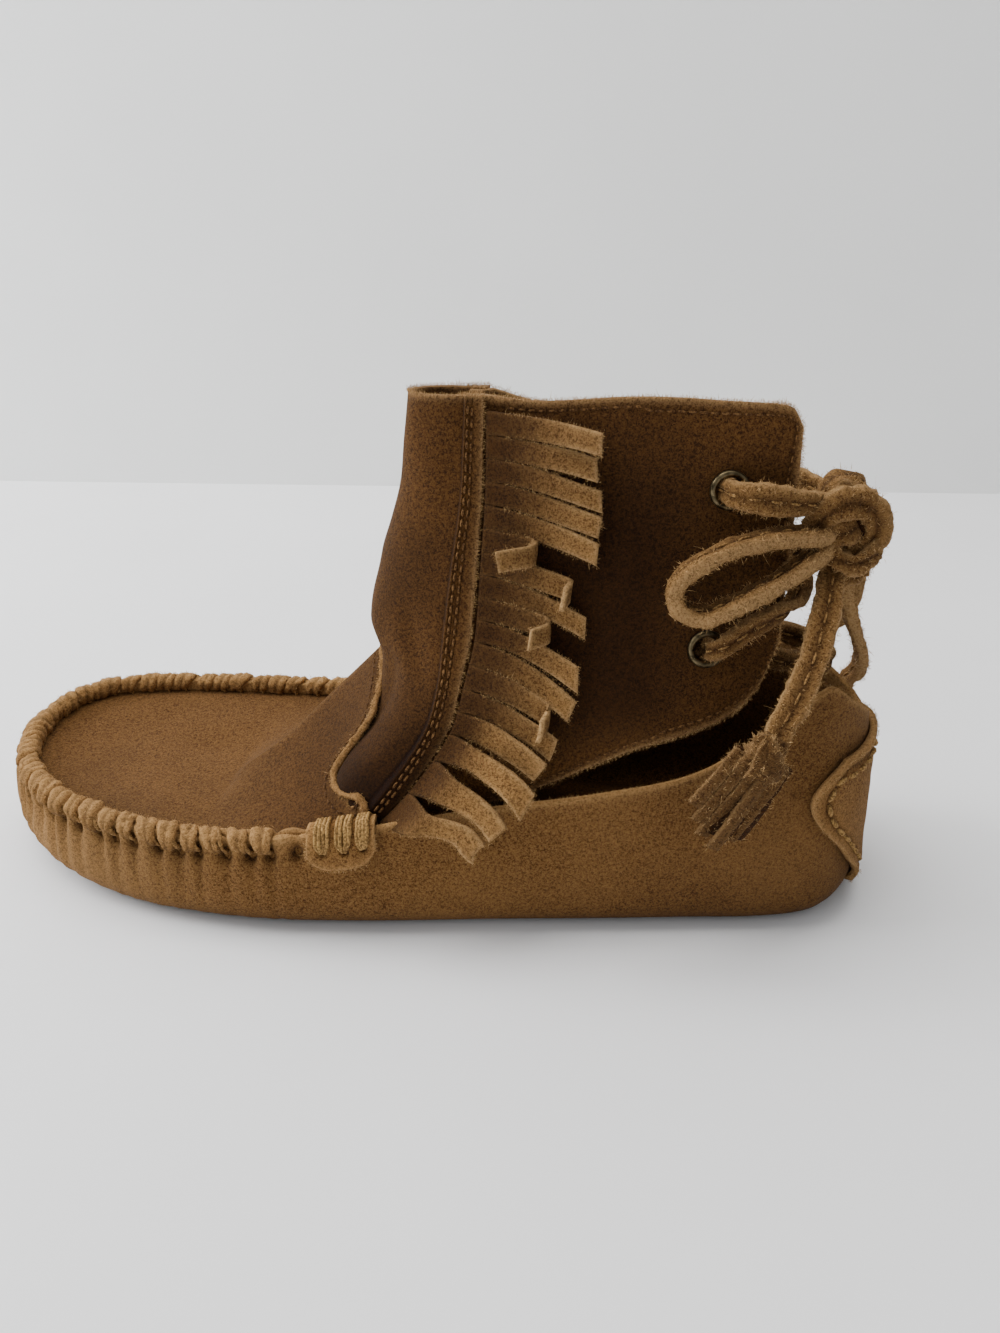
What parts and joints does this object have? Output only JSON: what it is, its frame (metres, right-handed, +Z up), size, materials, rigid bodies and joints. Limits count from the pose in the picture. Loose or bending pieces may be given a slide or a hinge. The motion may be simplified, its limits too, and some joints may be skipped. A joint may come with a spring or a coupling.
{
  "type": "moccasin boot",
  "caption": "Soft suede moccasin ankle boot with a puckered U-shaped plug, side fringes, open back and a tasselled lace bow",
  "frame": {"origin": "on the floor, under the middle of the boot's length, on the sole's flat face", "axes": "+X from the toe to the heel, -Y the outer side of the foot, +Z up"},
  "size_m": [0.2595, 0.099, 0.135],
  "materials": {
    "tan_suede": "napped suede",
    "cut_suede": "napped suede, pale cut edges",
    "eyelet_metal": "darkened antique brass"
  },
  "bodies": {
    "root": {"bottom": "tan_suede", "insole": "cut_suede", "plug": "tan_suede", "shaft_front": "tan_suede", "quarter_outer": "tan_suede", "quarter_inner": "tan_suede", "eyelet_outer_upper": "eyelet_metal", "eyelet_outer_lower": "eyelet_metal", "eyelet_inner_upper": "eyelet_metal", "eyelet_inner_lower": "eyelet_metal", "fringe_outer": "cut_suede", "fringe_inner": "cut_suede", "heel_patch": "tan_suede", "lace_bar": "cut_suede", "lace_cross": "cut_suede", "lace_knot": "cut_suede", "lace_lead_outer": "cut_suede", "lace_lead_inner": "cut_suede", "lace_loop_outer": "cut_suede", "lace_loop_inner": "cut_suede", "lace_end_outer": "cut_suede", "lace_end_inner": "cut_suede", "tassel_outer": "cut_suede", "tassel_inner": "cut_suede"}
  },
  "joints": []
}
